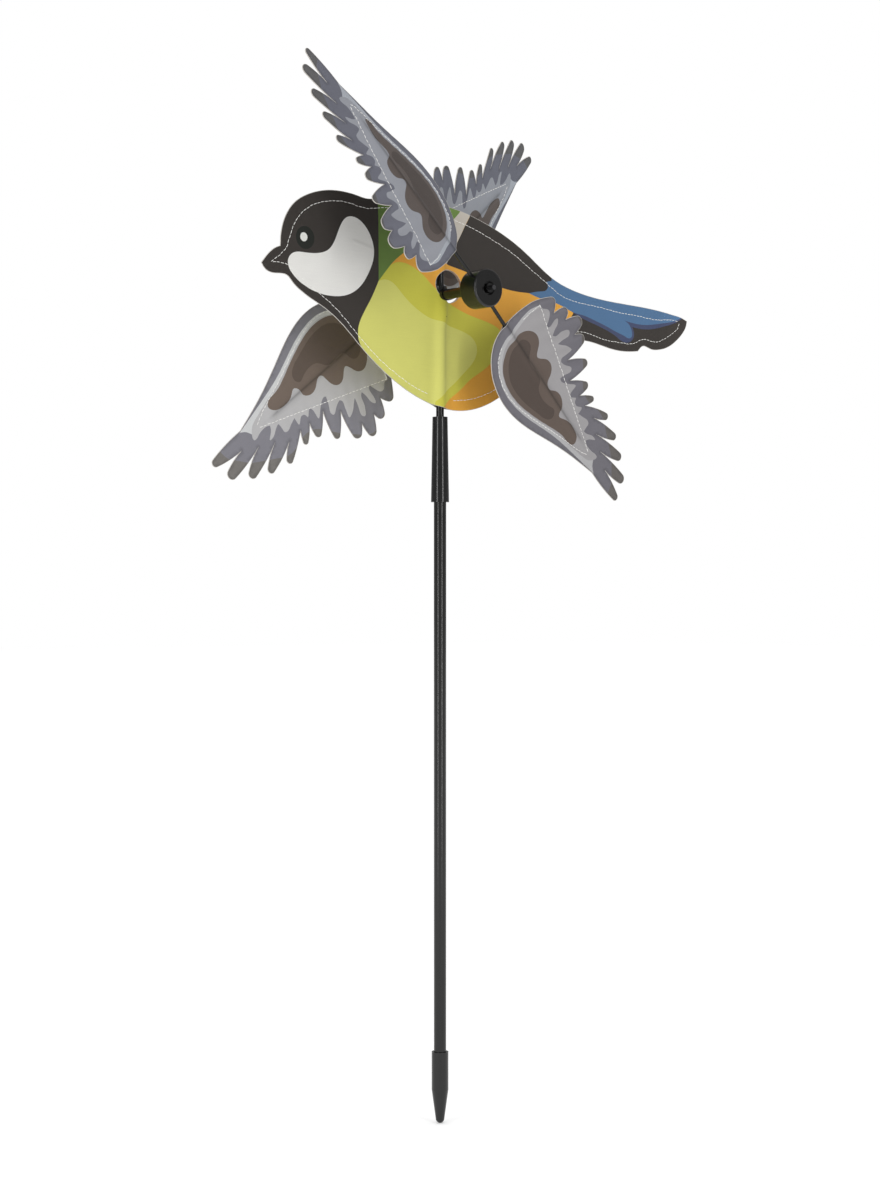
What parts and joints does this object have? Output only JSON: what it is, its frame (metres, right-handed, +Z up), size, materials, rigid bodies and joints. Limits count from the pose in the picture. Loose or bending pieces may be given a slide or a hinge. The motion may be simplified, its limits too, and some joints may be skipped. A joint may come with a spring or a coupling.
{
  "type": "whirligig",
  "caption": "Garden wind spinner shaped as a flying songbird: a printed cloth body that swivels on a ground stake, with cloth-winged rotors that spin on a cross axle through it.",
  "frame": {"origin": "on the stake's axis at the ground line, the top face of the ground spike", "axes": "+Z up along the stake; -X towards the beak, +X towards the tail; -Y the side of the near rotor, along the cross axle"},
  "size_m": [0.3854, 0.1152, 0.6628],
  "materials": {
    "black_moulding": "satin black moulded plastic",
    "black_tube": "semi-gloss black tube",
    "black_rod": "semi-gloss black rod",
    "nylon": "natural nylon",
    "steel": "drawn steel rod",
    "bird_cloth": "printed polyester, two layers sewn together",
    "wing_cloth": "printed polyester, two layers sewn together"
  },
  "bodies": {
    "stake": {"ground_spike": "black_moulding", "pole_tube": "black_tube", "socket_ferrule": "black_moulding", "socket_bush": "nylon"},
    "bird": {"swivel_rod": "black_rod", "cross_fitting": "black_moulding", "upper_rod": "black_rod", "rod_cap": "black_moulding", "axle_pin": "steel", "near_sleeve": "black_moulding", "near_axle_cap": "black_moulding", "far_sleeve": "black_moulding", "far_axle_cap": "black_moulding", "bird_layer_front": "bird_cloth", "bird_layer_back": "bird_cloth"},
    "near_rotor": {"near_hub": "black_moulding", "near_spoke_low": "black_rod", "near_spoke_high": "black_rod", "near_wing_low_front": "wing_cloth", "near_wing_low_back": "wing_cloth", "near_wing_high_front": "wing_cloth", "near_wing_high_back": "wing_cloth"},
    "far_rotor": {"far_hub": "black_moulding", "far_spoke_low": "black_rod", "far_spoke_high": "black_rod", "far_wing_low_front": "wing_cloth", "far_wing_low_back": "wing_cloth", "far_wing_high_front": "wing_cloth", "far_wing_high_back": "wing_cloth"}
  },
  "joints": [
    {"name": "bird_swivel", "type": "hinge", "parent": "stake", "child": "bird", "pos_m": [0, 0, 0.4066], "axis": [0, 0, 1], "continuous": true},
    {"name": "near_rotor_spin", "type": "hinge", "parent": "bird", "child": "near_rotor", "pos_m": [0, -0.0385, 0.4846], "axis": [0, -1, 0], "continuous": true},
    {"name": "far_rotor_spin", "type": "hinge", "parent": "bird", "child": "far_rotor", "pos_m": [0, 0.0385, 0.4846], "axis": [0, 1, 0], "continuous": true}
  ]
}
